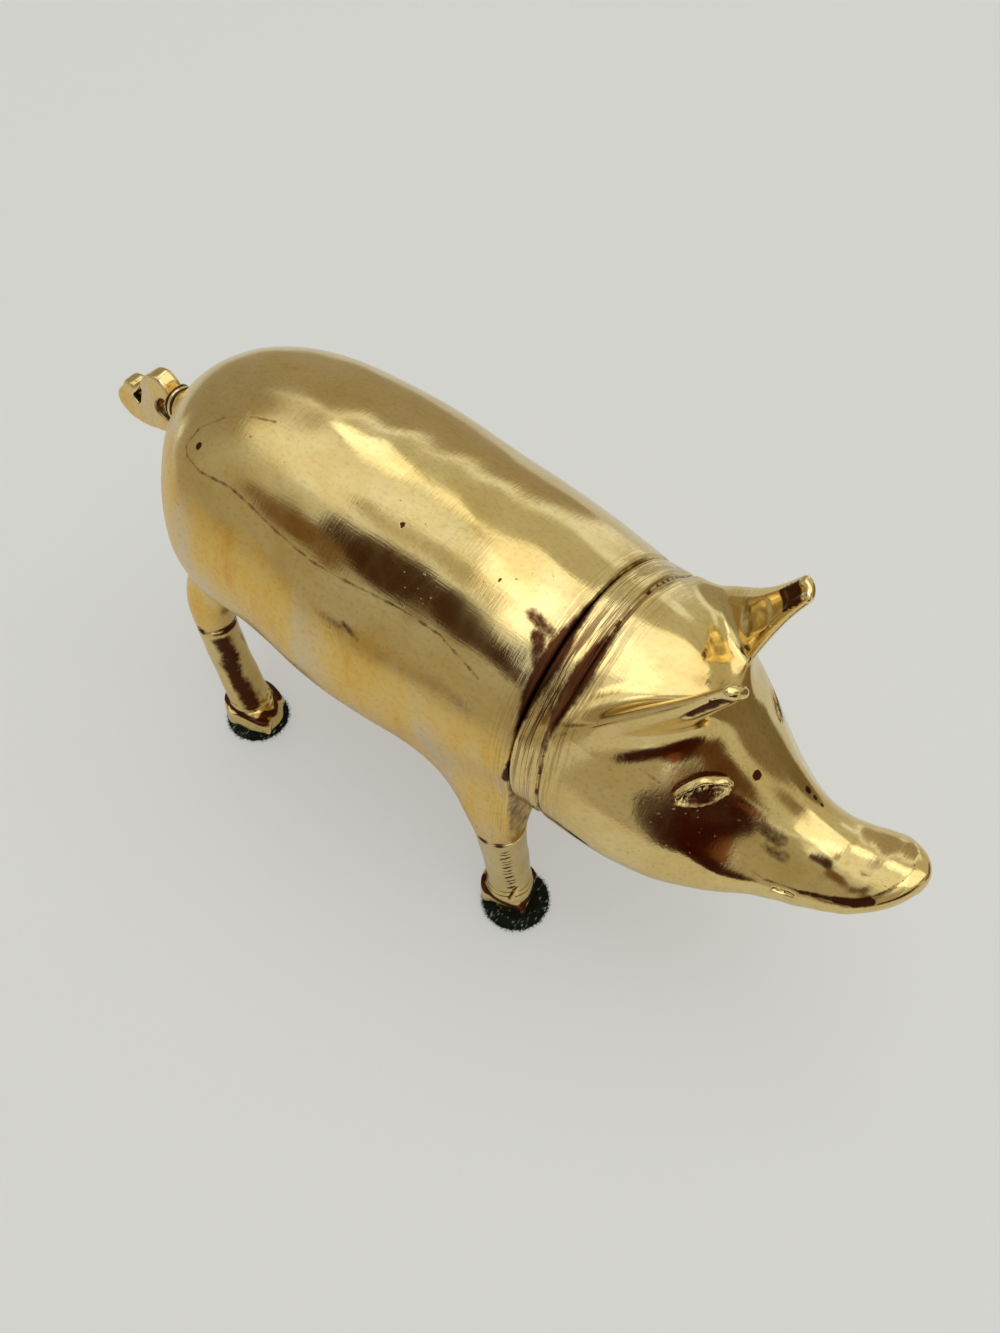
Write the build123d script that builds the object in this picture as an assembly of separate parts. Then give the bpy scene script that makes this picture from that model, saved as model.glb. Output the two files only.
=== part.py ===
from build123d import *
import math
import os

# Cast brass pig on felt pads. Millimetres, +Z up, nose towards +X.
# The origin is on the floor under the middle of the whole pig.

# Lengths along the pig
tail_reach = 36.0
barrel_length = 136.5
head_length = 87.9
nose_x = (tail_reach + barrel_length + head_length) / 2
neck_x = nose_x - head_length
rump_x = neck_x - barrel_length

# Barrel and head castings
barrel_axis_height = 82.0
barrel_depth = 77.6
barrel_width = 80.2
head_axis_drop = 2.0
head_axis_height = barrel_axis_height - head_axis_drop
jowl_depth = 61.2
jowl_width = 65.6
wall = 4.0
nose_disc_tilt = 12.0
nose_rim_radius = 3.4

# Rings of the barrel, rump to neck: how far along it, the middle's rise, depth, width, pear shape
barrel_shares = [
    (0.001, 0.064, 0.090, 0.087, 0.00),
    (0.007, 0.062, 0.209, 0.197, 0.00),
    (0.020, 0.060, 0.363, 0.342, 0.00),
    (0.045, 0.058, 0.523, 0.489, 0.02),
    (0.081, 0.055, 0.652, 0.613, 0.04),
    (0.194, 0.030, 0.892, 0.883, 0.06),
    (0.348, 0.020, 0.982, 0.970, 0.05),
    (0.538, -0.003, 1.000, 1.000, 0.05),
    (0.729, -0.018, 0.941, 0.975, 0.07),
    (0.890, -0.023, 0.866, 0.920, 0.10),
    (1.000, -0.027, 0.814, 0.870, 0.15),
]

# Rings of the head, neck to nose: along, rise, depth, width, pear shape, share of the tilt
head_shares = [
    (0.171, -0.008, 1.000, 1.000, 0.36, 0.0),
    (0.330, -0.050, 0.908, 0.873, 0.60, 0.0),
    (0.489, -0.141, 0.654, 0.659, 0.78, 0.0),
    (0.626, -0.205, 0.435, 0.468, 0.78, 0.0),
    (0.739, -0.223, 0.327, 0.380, 0.65, 0.1),
    (0.853, -0.171, 0.271, 0.370, 0.35, 0.5),
    (0.912, -0.133, 0.252, 0.328, 0.15, 0.9),
    (0.982, -0.105, 0.205, 0.225, 0.00, 1.0),
]
ring_points = 12
rump_cap_rings = 1
solid_nose_rings = 3

# Brazed neck joint: a lip on the head slips into the open neck of the barrel
neck_lip_length = 6.0
neck_lip_wall = 3.0
neck_fit = 0.3
neck_chamfer = 0.9
second_groove_gap = 7.3
second_groove_width = 1.8
second_groove_depth = 0.7

# Legs, each with a tenon that is brazed into a stub under the barrel
foot_out_share = 0.661
foot_out = foot_out_share * barrel_width / 2
front_foot_behind_neck = 3.0
rear_foot_ahead_of_rump = 30.0
front_leg_diameter = 13.0
rear_leg_diameter = 11.8
leg_joint_height = barrel_axis_height - barrel_depth / 2
stub_rise_share = 0.335
stub_height = stub_rise_share * barrel_depth
stub_fillet = 5.0
tenon_diameter = 6.0
tenon_length = 8.0
tenon_fit = 0.15
socket_spare_depth = 0.5
cleft_depth = 2.2
cleft_width = 2.6
cleft_height = 6.5

# Rings up each leg: share of its height, shift ahead, shift out, length, width
front_leg_shares = [
    (0.00, -0.15, -0.02, 1.09, 1.05),
    (0.09, -0.17, -0.03, 1.07, 1.03),
    (0.24, -0.20, -0.03, 0.98, 0.96),
    (0.50, -0.24, 0.04, 0.95, 0.94),
    (0.77, -0.26, 0.14, 0.99, 0.97),
    (1.00, -0.26, 0.22, 1.07, 1.05),
]
rear_leg_shares = [
    (0.00, 0.03, 0.00, 1.48, 1.27),
    (0.08, -0.01, 0.00, 1.41, 1.22),
    (0.18, -0.14, 0.00, 1.19, 1.10),
    (0.33, -0.31, 0.00, 1.03, 1.02),
    (0.60, -0.55, 0.00, 0.99, 0.99),
    (1.00, -0.66, 0.04, 1.00, 1.00),
]

# Rings up each stub, in the same measures, over the stub's height
front_stub_shares = [
    (0.00, -0.26, 0.22, 1.07, 1.05),
    (0.25, -0.34, 0.18, 1.50, 1.22),
    (0.60, -0.52, -0.05, 2.50, 1.50),
    (1.00, -0.70, -0.50, 3.60, 1.70),
]
rear_stub_shares = [
    (0.00, -0.66, 0.04, 1.00, 1.00),
    (0.25, -0.66, 0.00, 1.15, 1.12),
    (0.60, -0.55, -0.25, 1.50, 1.35),
    (1.00, -0.30, -0.90, 2.00, 1.60),
]

# Felt pads, stuck under the hooves
pad_diameter = 19.05
pad_thickness = 2.8
glue_thickness = 0.2
glue_diameter = 14.5
pad_edge = 0.5

# Ears, cast with the head
ear_along_share = 0.283
ear_round_angle = 54.8
ear_height = 29.0
ear_width = 29.0
ear_thickness = 7.0
ear_sink = 7.0
ear_forward = 32.8
ear_outward = -1.0
ear_turn = 43.8
# Rings up an ear: share of its height, width, thickness
ear_shares = [
    (0.00, 0.910, 1.26),
    (0.19, 0.772, 1.00),
    (0.40, 0.566, 0.77),
    (0.60, 0.379, 0.63),
    (0.80, 0.262, 0.54),
    (1.00, 0.200, 0.48),
]
# Rings of the hollow in its front: height, width, depth, shift to the front
ear_hollow_shares = [
    (0.29, 0.414, 0.714, 0.63),
    (0.60, 0.241, 0.543, 0.40),
    (0.80, 0.159, 0.457, 0.34),
    (1.04, 0.070, 0.229, 0.27),
]

# Face
eye_along_share = 0.465
eye_round_angle = 37.0
eye_length = 11.0
eye_opening = 5.0
eye_depth = 1.5
eyeball_diameter = 4.6
eyeball_proud = 0.1
eye_slant = 20.0
cheek_along_share = 0.571
cheek_round_angle = 27.0
cheek_hollow_radius = 38.0
cheek_depth = 2.1
mouth_along_share = 0.70
mouth_rise_share = -0.24
mouth_height = head_axis_height + mouth_rise_share * jowl_depth
mouth_length = 6.0
mouth_opening = 1.0
mouth_depth = 1.2
mouth_slant = -4.0
nostril_diameter = 2.6
nostril_depth = 2.4
nostril_spacing = 6.0

# Tail: a flat curl with an open loop and a slot, on a round stem
tail_height = 23.2
tail_curl_length = 27.5
tail_thickness = 5.8
tail_edge = 1.2
stem_rise_share = 0.103
stem_height = barrel_axis_height + stem_rise_share * barrel_depth
tail_drop = 15.5
tail_bottom_height = stem_height - tail_drop
stem_diameter = 10.4
stem_peg_diameter = 6.0
stem_peg_length = 6.5
stem_peg_fit = 0.15
stem_collar_diameter = 11.6
stem_collar_width = 2.4
stem_root = 4.0
stem_seat = 2.5
stem_dip = 1.4

# Outline of the curl from its tip end: share of its length, share of its height
tail_outline_shares = [
    (0.10, 0.04),
    (0.00, 0.24),
    (0.04, 0.46),
    (0.18, 0.61),
    (0.32, 0.60),
    (0.41, 0.55),
    (0.49, 0.66),
    (0.56, 0.84),
    (0.70, 0.95),
    (0.84, 0.96),
    (0.96, 0.82),
    (1.00, 0.62),
    (0.97, 0.38),
    (0.88, 0.14),
    (0.62, 0.02),
    (0.33, 0.00),
]
loop_hole_shares = [
    (0.735, 0.42),
    (0.72, 0.53),
    (0.79, 0.64),
    (0.87, 0.66),
    (0.91, 0.56),
    (0.91, 0.43),
    (0.84, 0.34),
]
tail_slot_shares = [
    (0.31, 0.36),
    (0.35, 0.42),
    (0.42, 0.56),
    (0.47, 0.64),
    (0.38, 0.64),
    (0.34, 0.56),
    (0.28, 0.45),
    (0.26, 0.38),
]

overrun = 5.0


def skin_rings(inset=0.0):
    """Place, half width, half depth, pear shape and tilt of each ring, drawn in by an inset."""
    rings = []
    for along, rise, depth, width, pear in barrel_shares:
        x = rump_x + along * barrel_length
        z = barrel_axis_height + rise * barrel_depth
        rings.append((x, z, width * barrel_width / 2, depth * barrel_depth / 2, pear, 0.0))
    for along, rise, depth, width, pear, tilt in head_shares:
        x = neck_x + along * head_length
        z = head_axis_height + rise * jowl_depth
        rings.append((x, z, width * jowl_width / 2, depth * jowl_depth / 2, pear, tilt * nose_disc_tilt))
    middle_x = (rump_x + nose_x) / 2
    shrink = 1 - inset / (nose_x - middle_x)
    return [
        (middle_x + (x - middle_x) * shrink, z, w - inset, h - inset, pear, tilt)
        for x, z, w, h, pear, tilt in rings
    ]


def ring_face(x, z, half_width, half_depth, pear, tilt):
    """One cross-section, narrower above the middle than below it where it is pear-shaped."""
    points = []
    for i in range(ring_points):
        angle = 2 * math.pi * i / ring_points
        narrowing = math.sqrt(1 + pear * math.sin(angle))
        points.append((half_width * math.cos(angle) / narrowing, half_depth * math.sin(angle)))
    lean = math.radians(tilt)
    plane = Plane(origin=(x, 0, z), x_dir=(0, 1, 0), z_dir=(math.cos(lean), 0, -math.sin(lean)))
    return plane * make_face(Spline(*points, periodic=True))


def skin(inset=0.0, first=0, spare=0):
    """The whole pig's barrel and head as one smooth solid, without a few of its end rings."""
    rings = skin_rings(inset)
    return loft([ring_face(*ring) for ring in rings[first:len(rings) - spare]])


def inner_skin(inset):
    """The hollow inside the skin, which ends short of the rump and of the solid nose."""
    return skin(inset, rump_cap_rings, solid_nose_rings)


def slab(x_from, x_to):
    """A thick slice across the pig between two places along it."""
    tall = 2 * barrel_axis_height
    box = Box(x_to - x_from, barrel_width + 2 * overrun, tall, align=(Align.MIN, Align.CENTER, Align.CENTER))
    return Pos(x_from, 0, barrel_axis_height) * box


def leg_places():
    """Name, foot place, side, leg diameter and ring tables of the four legs."""
    front = (neck_x - front_foot_behind_neck, front_leg_diameter, front_leg_shares, front_stub_shares)
    rear = (rump_x + rear_foot_ahead_of_rump, rear_leg_diameter, rear_leg_shares, rear_stub_shares)
    for end, (x, diameter, leg_table, stub_table) in (("front", front), ("rear", rear)):
        for hand, side in (("left", 1), ("right", -1)):
            yield end + "_" + hand, x, side, diameter, leg_table, stub_table


def limb_rings(table, foot_x, side, diameter, bottom, height):
    """Centre, half length and half width of each ring of a leg or a stub."""
    for up, ahead, out, length, width in table:
        centre_out = side * (foot_out + out * diameter)
        centre = Vector(foot_x + ahead * diameter, centre_out, bottom + up * height)
        yield centre, length * diameter / 2, width * diameter / 2


def limb(rings):
    return loft([Plane(centre) * Ellipse(half_length, half_width) for centre, half_length, half_width in rings])


hoof_bottom = pad_thickness + glue_thickness
leg_height = leg_joint_height - hoof_bottom


def joint_centre(table, foot_x, side, diameter):
    """Middle of the face where a leg meets its stub."""
    rings = list(limb_rings(table, foot_x, side, diameter, hoof_bottom, leg_height))
    return rings[-1][0]


def make_leg(foot_x, side, diameter, leg_table):
    """A leg casting: cloven hoof below, tenon above."""
    rings = list(limb_rings(leg_table, foot_x, side, diameter, hoof_bottom, leg_height))
    leg = limb(rings)
    tenon = Cylinder(tenon_diameter / 2, tenon_length, align=(Align.CENTER, Align.CENTER, Align.MIN))
    leg += Pos(rings[-1][0]) * tenon
    hoof_centre, hoof_half_length, hoof_half_width = rings[0]
    toe = hoof_centre + Vector(hoof_half_length, 0, 0)
    notch = Polygon((-cleft_depth, 0), (cleft_depth, -cleft_width), (cleft_depth, cleft_width), align=None)
    leg -= Pos(toe) * extrude(notch, cleft_height)
    return leg


def stub_root(body, foot_x, side, diameter):
    """Edges where one stub meets the barrel."""
    root = []
    for edge in body.edges():
        near = abs(edge.center().X - foot_x) < 2 * diameter and edge.center().Y * side > 0
        above_joint = edge.bounding_box().min.Z > leg_joint_height + tenon_fit
        if near and above_joint and edge.center().Z < barrel_axis_height - barrel_depth / 8:
            root.append(edge)
    return root


def make_body():
    """The hollow barrel with its four stubs, open at the neck."""
    body = skin()
    for place, foot_x, side, diameter, leg_table, stub_table in leg_places():
        body += limb(limb_rings(stub_table, foot_x, side, diameter, leg_joint_height, stub_height))
        body = fillet(stub_root(body, foot_x, side, diameter), stub_fillet)
    body -= slab(neck_x, nose_x + overrun)
    body -= inner_skin(wall)
    rim = body.faces().filter_by(Axis.X).sort_by(Axis.X)[-1].outer_wire()
    body = chamfer(rim.edges(), neck_chamfer)
    socket = Cylinder(
        tenon_diameter / 2 + tenon_fit,
        tenon_length + socket_spare_depth,
        align=(Align.CENTER, Align.CENTER, Align.MIN),
    )
    for place, foot_x, side, diameter, leg_table, stub_table in leg_places():
        body -= Pos(joint_centre(leg_table, foot_x, side, diameter)) * socket
    tail_bore = Cylinder(
        stem_peg_diameter / 2 + stem_peg_fit,
        stem_peg_length + 2 * overrun,
        rotation=(0, 90, 0),
    )
    body -= Pos(rump_x, 0, stem_height) * tail_bore
    tail_seat = Cylinder(
        stem_diameter / 2 + stem_peg_fit,
        overrun,
        rotation=(0, 90, 0),
        align=(Align.CENTER, Align.CENTER, Align.MAX),
    )
    body -= Pos(rump_x + stem_dip, 0, stem_height) * tail_seat
    return body


def surface_spot(solid, x, axis_height, round_angle, side):
    """A plane on the outer surface, at an angle above the horizontal round the pig's axis."""
    angle = math.radians(round_angle)
    direction = Vector(0, side * math.cos(angle), math.sin(angle))
    line = Axis((x, 0, axis_height), direction)
    hits = solid.find_intersection_points(line)
    point, normal = max(hits, key=lambda hit: (hit[0] - line.position).dot(direction))
    return point, normal


def head_place(along_share):
    """Place along the head, and the height of its middle there."""
    rings = [(neck_x, head_axis_height)]
    for along, rise, depth, width, pear, tilt in head_shares:
        rings.append((neck_x + along * head_length, head_axis_height + rise * jowl_depth))
    x = neck_x + along_share * head_length
    for (x_a, z_a), (x_b, z_b) in zip(rings, rings[1:]):
        if x_a <= x <= x_b:
            return x, z_a + (z_b - z_a) * (x - x_a) / (x_b - x_a)


def ear_plane(outer, side):
    """The ear's root: z runs up the ear, x along its width, -y out of its hollow front."""
    x, z = head_place(ear_along_share)
    point, normal = surface_spot(outer, x, z, ear_round_angle, side)
    forward = math.radians(ear_forward)
    outward = math.radians(ear_outward)
    up = Vector(math.sin(forward), side * math.sin(outward), math.cos(forward)).normalized()
    turn = math.radians(ear_turn)
    across = Vector(math.cos(turn), -side * math.sin(turn), 0)
    width_way = (across - up * across.dot(up)).normalized()
    return Plane(origin=point - up * ear_sink, x_dir=width_way, z_dir=up)


def make_ear(plane, side):
    reach = ear_height + ear_sink
    rings = []
    for up, width, thickness in ear_shares:
        section = Ellipse(width * ear_width / 2, thickness * ear_thickness / 2)
        rings.append(plane * Pos(0, 0, up * reach) * section)
    hollow = []
    for up, width, depth, shift in ear_hollow_shares:
        section = Ellipse(width * ear_width / 2, depth * ear_thickness / 2)
        hollow.append(plane * Pos(0, -side * shift * ear_thickness, up * reach) * section)
    return loft(rings), loft(hollow)


def dish(point, normal, length, height, bulge, depth, slant, side):
    """A shallow oval cutter that bites into the surface by the depth given."""
    along = normal.cross(Vector(1, 0, 0)).cross(normal)
    plane = Plane(origin=point + normal * (bulge - depth), x_dir=along, z_dir=normal)
    oval = scale(Sphere(1), by=(length / 2, height / 2, bulge))
    return plane * Rot(0, 0, side * slant) * oval


def make_head():
    """The hollow head with both ears, a lip for the neck joint and the carved face."""
    outer = skin()
    head = outer - slab(rump_x - overrun, neck_x)
    rim = head.faces().filter_by(Axis.X).sort_by(Axis.X)[0].outer_wire()
    head = chamfer(rim.edges(), neck_chamfer)
    hollows = []
    for side in (1, -1):
        ear, hollow = make_ear(ear_plane(outer, side), side)
        head += ear
        hollows.append(hollow)
    head -= hollows
    nose_disc = head.faces().filter_by(GeomType.PLANE).sort_by(Axis.X)[-1]
    disc_plane = Plane(origin=nose_disc.center(), x_dir=(0, 1, 0), z_dir=nose_disc.normal_at())
    head = fillet(nose_disc.edges(), nose_rim_radius)
    head -= make_nostrils(disc_plane)
    for side in (1, -1):
        x, z = head_place(cheek_along_share)
        point, normal = surface_spot(outer, x, z, cheek_round_angle, side)
        head -= Pos(point + normal * (cheek_hollow_radius - cheek_depth)) * Sphere(cheek_hollow_radius)
        x, z = head_place(eye_along_share)
        point, normal = surface_spot(outer, x, z, eye_round_angle, side)
        head -= dish(point, normal, eye_length, eye_opening, eye_opening, eye_depth, eye_slant, side)
        head += Pos(point - normal * (eyeball_diameter / 2 - eyeball_proud)) * Sphere(eyeball_diameter / 2)
    head -= make_mouth()
    groove_x = neck_x + second_groove_gap
    groove = slab(groove_x - second_groove_width / 2, groove_x + second_groove_width / 2)
    head -= groove - skin(second_groove_depth)
    head -= inner_skin(wall) - slab(rump_x - overrun, neck_x + neck_lip_length)
    head += inner_skin(wall + neck_fit) & slab(neck_x - neck_lip_length, neck_x + neck_lip_length)
    lip_bore = slab(neck_x - neck_lip_length - overrun, neck_x + neck_lip_length + overrun)
    head -= inner_skin(wall + neck_fit + neck_lip_wall) & lip_bore
    return head


def make_nostrils(disc_plane):
    """Two round pits in the nose disc."""
    pit = Cylinder(nostril_diameter / 2, 2 * nostril_depth)
    return [disc_plane * Pos(side * nostril_spacing / 2, 0, 0) * pit for side in (1, -1)]


def make_mouth():
    """A thin slit along both sides of the snout."""
    x = neck_x + mouth_along_share * head_length
    slit = Box(mouth_length, barrel_width, mouth_opening)
    return Pos(x, 0, mouth_height) * Rot(0, mouth_slant, 0) * slit - skin(mouth_depth)


def tail_plate(shares, thickness):
    """A flat plate in the pig's side view, cut to an outline given in shares."""
    start_x = rump_x - tail_reach
    points = []
    for along, up in shares:
        points.append((start_x + along * tail_curl_length, tail_bottom_height + up * tail_height))
    outline = make_face(Spline(*points, periodic=True))
    return extrude(Plane.XZ * outline, thickness / 2, both=True)


def make_tail():
    """The flat curl with its loop and slot, the stem, and the peg that fills the rump bore."""
    curl = tail_plate(tail_outline_shares, tail_thickness)
    curl = chamfer(curl.edges().filter_by(GeomType.BSPLINE), tail_edge)
    curl -= tail_plate(loop_hole_shares, tail_thickness + overrun)
    curl -= tail_plate(tail_slot_shares, tail_thickness + overrun)
    curl_end = rump_x - tail_reach + tail_curl_length
    stem_start = curl_end - stem_root
    stem_half = stem_diameter / 2
    peg_half = stem_peg_diameter / 2
    collar_half = stem_collar_diameter / 2
    collar_at = rump_x - stem_seat - stem_collar_width / 2
    profile = Polyline(
        (stem_start, 0),
        (stem_start, stem_half),
        (collar_at - stem_collar_width / 2, stem_half),
        (collar_at, collar_half),
        (collar_at + stem_collar_width / 2, stem_half),
        (rump_x + stem_dip, stem_half),
        (rump_x + stem_dip, peg_half),
        (rump_x + stem_dip + stem_peg_length, peg_half),
        (rump_x + stem_dip + stem_peg_length, 0),
        close=True,
    )
    stem = revolve(Plane.XZ * make_face(profile), Axis.X)
    stem = Pos(0, 0, stem_height) * stem
    return curl + stem


def make_pad(foot_x, side):
    """A round felt pad with a softened lower edge."""
    pad = Cylinder(pad_diameter / 2, pad_thickness, align=(Align.CENTER, Align.CENTER, Align.MIN))
    pad = chamfer(pad.edges().group_by(Axis.Z)[0], pad_edge)
    return Pos(foot_x, side * foot_out, 0) * pad


def make_glue(foot_x, side):
    """The film of adhesive between a hoof and its pad."""
    film = Cylinder(glue_diameter / 2, glue_thickness, align=(Align.CENTER, Align.CENTER, Align.MIN))
    return Pos(foot_x, side * foot_out, pad_thickness) * film


def write_part(name, solid):
    export_step(solid, os.path.join("parts", name + ".step"))


if __name__ == "__main__":
    os.makedirs("parts", exist_ok=True)
    write_part("body_shell", make_body())
    write_part("head_shell", make_head())
    write_part("curly_tail", make_tail())
    for place, foot_x, side, diameter, leg_table, stub_table in leg_places():
        write_part("leg_" + place, make_leg(foot_x, side, diameter, leg_table))
        write_part("felt_pad_" + place, make_pad(foot_x, side))
        write_part("pad_glue_" + place, make_glue(foot_x, side))
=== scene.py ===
import bpy
import math
import random
import numpy as np
from mathutils import Matrix, Vector


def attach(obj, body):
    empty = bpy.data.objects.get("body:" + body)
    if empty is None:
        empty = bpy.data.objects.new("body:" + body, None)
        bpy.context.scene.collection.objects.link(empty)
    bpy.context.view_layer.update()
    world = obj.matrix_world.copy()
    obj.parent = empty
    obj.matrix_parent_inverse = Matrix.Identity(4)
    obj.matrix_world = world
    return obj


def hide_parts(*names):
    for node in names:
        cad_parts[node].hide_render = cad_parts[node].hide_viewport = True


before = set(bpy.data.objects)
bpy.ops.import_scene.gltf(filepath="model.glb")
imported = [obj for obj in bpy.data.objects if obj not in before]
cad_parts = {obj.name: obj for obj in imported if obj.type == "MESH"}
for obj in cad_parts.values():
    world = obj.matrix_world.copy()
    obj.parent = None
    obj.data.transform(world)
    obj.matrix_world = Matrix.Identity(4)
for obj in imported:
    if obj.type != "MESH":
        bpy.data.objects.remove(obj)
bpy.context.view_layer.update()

# Cast brass pig on felt pads. The shapes are worked out in millimetres and written in metres.
MM = 0.001

# Skin of the barrel and head: place along the pig, middle height, half depth, half width, pear shape
skin_stations = [
    (-94.2, 87.00, 0.00, 0.00, 0.00),
    (-91.5, 86.65, 14.07, 13.62, 0.05),
    (-83.2, 86.35, 25.19, 24.23, 0.10),
    (-67.7, 84.50, 34.80, 35.70, 0.10),
    (-46.7, 83.70, 38.00, 38.10, 0.00),
    (-20.7, 81.80, 38.70, 40.00, 0.07),
    (5.3, 80.60, 36.50, 39.05, 0.12),
    (27.3, 80.30, 33.60, 36.90, 0.08),
    (43.0, 79.95, 31.60, 34.90, 0.15),
    (57.3, 79.50, 30.60, 32.80, 0.38),
    (71.3, 76.94, 27.85, 28.65, 0.60),
    (85.3, 71.39, 20.00, 21.61, 0.78),
    (97.3, 67.44, 13.30, 15.36, 0.78),
    (107.3, 66.34, 10.00, 12.46, 0.65),
    (117.3, 69.54, 8.30, 12.14, 0.35),
    (122.5, 71.84, 7.70, 10.75, 0.15),
    (126.2, 73.16, 6.80, 7.60, 0.00),
    (128.2, 74.04, 4.80, 4.20, 0.00),
    (129.4, 74.46, 0.00, 0.00, 0.00),
]
snout_lean = 0.236
snout_lean_from = 106.0
snout_lean_to = 126.0
snout_lean_height = 74.0
cap_radius = 9.0
neck_x = 42.3
seam_gap = 0.04
seam_round = 1.5
second_groove_x = 49.7
second_groove_half = 0.75
second_groove_depth = 0.75
nose_rim_at = (124.6, 0.0, 74.0)
nose_rim_tilt = 13.0
nose_rim_bow = 0.035
nose_rim_height = 0.12
nose_rim_half = 1.1
nostril_at = (129.3, 3.0, 73.0)
nostril_half_width = 1.1
nostril_half_height = 1.5
nostril_depth = 2.4
nostril_round = 1.0

# Legs: foot place, side and ring tables of height, centre ahead, centre out, half length, half width
hoof_bottom = 3.0
joint_height = 43.2
foot_out = 26.5
foot_x = {"front": 39.3, "rear": -64.2}
leg_rings = {
    "front": [
        (3.0, -1.95, -0.26, 7.08, 6.82),
        (6.6, -2.21, -0.39, 6.95, 6.70),
        (12.6, -2.60, -0.39, 6.37, 6.24),
        (23.0, -3.12, 0.52, 6.17, 6.11),
        (33.9, -3.38, 1.82, 6.43, 6.30),
        (43.2, -3.38, 2.86, 6.95, 6.82),
    ],
    "rear": [
        (3.0, 0.35, 0.0, 8.73, 7.49),
        (6.2, -0.12, 0.0, 8.32, 7.20),
        (10.2, -1.65, 0.0, 7.02, 6.49),
        (16.2, -3.66, 0.0, 6.08, 6.02),
        (27.0, -6.49, 0.0, 5.84, 5.84),
        (43.2, -7.79, 0.47, 5.90, 5.90),
    ],
}
stub_rings = {
    "front": [
        (43.2, -3.38, 2.86, 6.95, 6.82),
        (49.7, -4.42, 2.34, 9.75, 7.93),
        (58.8, -6.76, -0.65, 16.2, 9.75),
        (69.2, -9.10, -6.50, 23.4, 11.0),
    ],
    "rear": [
        (43.2, -7.79, 0.47, 5.90, 5.90),
        (49.7, -7.79, 0.0, 6.79, 6.61),
        (58.8, -6.49, -2.95, 8.85, 7.97),
        (69.2, -3.54, -10.6, 11.8, 9.44),
    ],
}
stub_blend = 9.0
stub_top_round = 12.0
hoof_round = 0.9
joint_round = 0.5
# Crack in a front toe: its middle ahead, outward and up, and its run in height
crack_at = (3.0, 3.6, 12.0)
crack_heights = (9.0, 10.5, 14.0, 16.0)
crack_depth = 1.6
crack_half = 0.5
# Lines filed round an ankle: height and depth
ankle_lines = {"front": [(10.2, 0.22), (12.4, 0.14)], "rear": [(9.8, 0.3), (12.0, 0.2)]}
ankle_line_half = 0.45
ankle_line_tilt = 0.15
# Pointed hooves: way of the toe from straight ahead, outward, and the faces on both sides of it
toe_turn = {"front": 28.0, "rear": 24.0}
toe_face_turn = 48.0
toe_face_reach = {"front": 5.9, "rear": 6.9}
hoof_top = {"front": 7.6, "rear": 8.8}
hoof_swell = 1.4
hoof_blend = 1.0
hoof_top_slant = 0.12
hoof_top_round = 0.7
toe_face_round = 0.3
# Ridges left by the file round the snout
snout_ridges_from = 101.0
snout_ridges_to = 125.0
snout_ridge_length = 4.6
snout_ridge_height = 0.030
snout_ridges_rise = 8.0
snout_ridges_fall = 4.0

# Ears, left and right: the root's middle and the tip
ear_ends = {
    1: ((67.5, 15.0, 101.0), (82.0, 14.6, 126.0)),
    -1: ((67.0, -16.0, 100.0), (84.0, -15.3, 124.0)),
}
ear_across = (0.72, -0.69, 0.0)
# Rings up an ear: share of its height, shift across, half width, half thickness
ear_rings = [
    (-0.35, 0.0, 14.5, 5.0),
    (0.00, 0.0, 11.2, 3.5),
    (0.25, 0.0, 8.2, 2.7),
    (0.50, 0.0, 5.5, 2.2),
    (0.75, -0.2, 3.8, 1.9),
    (1.00, -0.3, 3.0, 1.7),
]
ear_blend = 5.5
ear_round = 1.8
# Trough in the ear's inner face: share of the height, shift across, half width, half depth, shift inward
trough_rings = [
    (-0.10, 1.5, 7.0, 2.4, 5.2),
    (0.25, 1.2, 5.2, 1.7, 3.4),
    (0.50, 0.8, 3.5, 1.5, 2.7),
    (0.75, 0.3, 2.3, 1.4, 2.3),
    (1.05, 0.0, 1.0, 0.8, 1.9),
]
trough_edge = 0.5
trough_start_round = 5.0
# Share of an ear's height where its trough starts, left and right
trough_start = {1: 0.20, -1: 0.36}
# Facets filed across the trough: share of the height where each step is, and its depth
trough_steps = [(0.30, 0.35), (0.52, -0.3), (0.74, 0.35)]
trough_step_rise = 0.04
trough_step_fall = 0.2
# Slit on an ear's outer face: shares of the height, half width, depth
slit_from = 0.42
slit_to = 0.93
slit_half = 0.9
slit_across = -1.7
slit_depth = 1.3
slit_fade = 0.12

# Face, on the right side, and mirrored
eye_at = (82.0, -16.3, 85.3)
eye_ahead = (0.63, 0.77, 0.15)
eye_half_length = 7.2
eye_half_opening = 2.7
eye_socket_depth = 1.5
eye_reach = 6.0
eyeball_at = (0.6, -0.2)
eyeball_radius_squared = 4.4
eyeball_height = 1.1
chisel_coarse = 0.34
chisel_fine = 0.22
lid_height = 0.55
lid_half = 0.6
brow_depth = 0.25
brow_half = 0.7
cheek_at = (91.0, -16.0, 74.0)
cheek_ahead = (0.86, 0.25, -0.44)
cheek_facing = (0.55, -0.66, 0.50)
cheek_ball_radius = 23.0
cheek_depth = 1.0
cheek_stretch = 1.15
cheek_edge_round = 2.5
mouth_at = (104.7, -13.6, 64.2)
mouth_ahead = (0.97, 0.2, 0.10)
mouth_half_length = 2.6
mouth_half_opening = 0.45
mouth_depth = 1.2
mouth_bow = 0.012
mouth_reach = 8.0

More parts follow.
